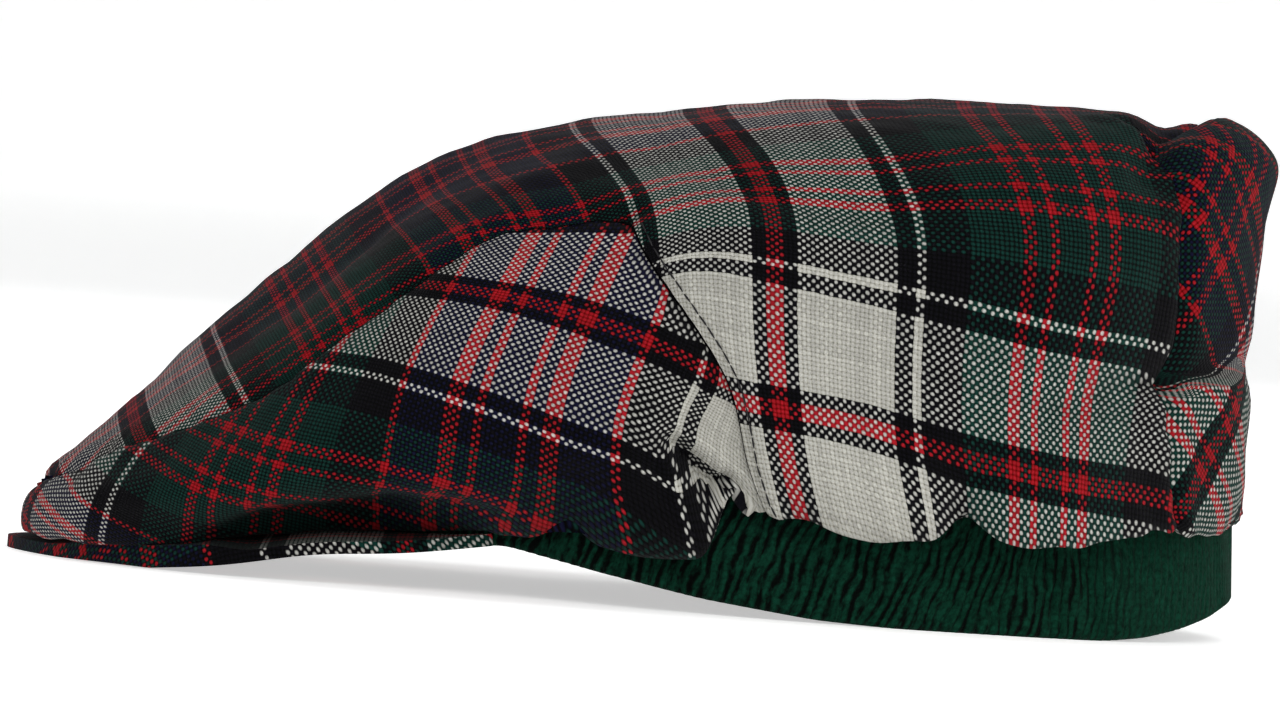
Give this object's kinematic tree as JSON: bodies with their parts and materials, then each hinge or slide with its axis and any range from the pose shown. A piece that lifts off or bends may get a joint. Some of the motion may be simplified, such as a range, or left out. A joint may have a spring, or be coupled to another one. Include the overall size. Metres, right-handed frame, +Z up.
{
  "type": "flat cap",
  "caption": "Woven tartan flat cap with a short peak under the crown's front, gathered puffy sides and a rib-knit band at the head opening.",
  "frame": {"origin": "middle of the cap's box, on the floor that its peak and band rest on", "axes": "-X is the front with the peak, +X the back, -Y the wearer's left side, +Z up"},
  "size_m": [0.2698, 0.192, 0.113],
  "materials": {
    "tartan_cloth": "matt plain-woven tartan of cream, black, red, bottle green and navy threads",
    "green_knit": "matt ribbed wool knit, dark bottle green"
  },
  "bodies": {
    "root": {"crown_top_panel": "tartan_cloth", "side_panel_left": "tartan_cloth", "side_panel_right": "tartan_cloth", "back_panel": "tartan_cloth", "peak": "tartan_cloth", "knit_band": "green_knit"}
  },
  "joints": []
}
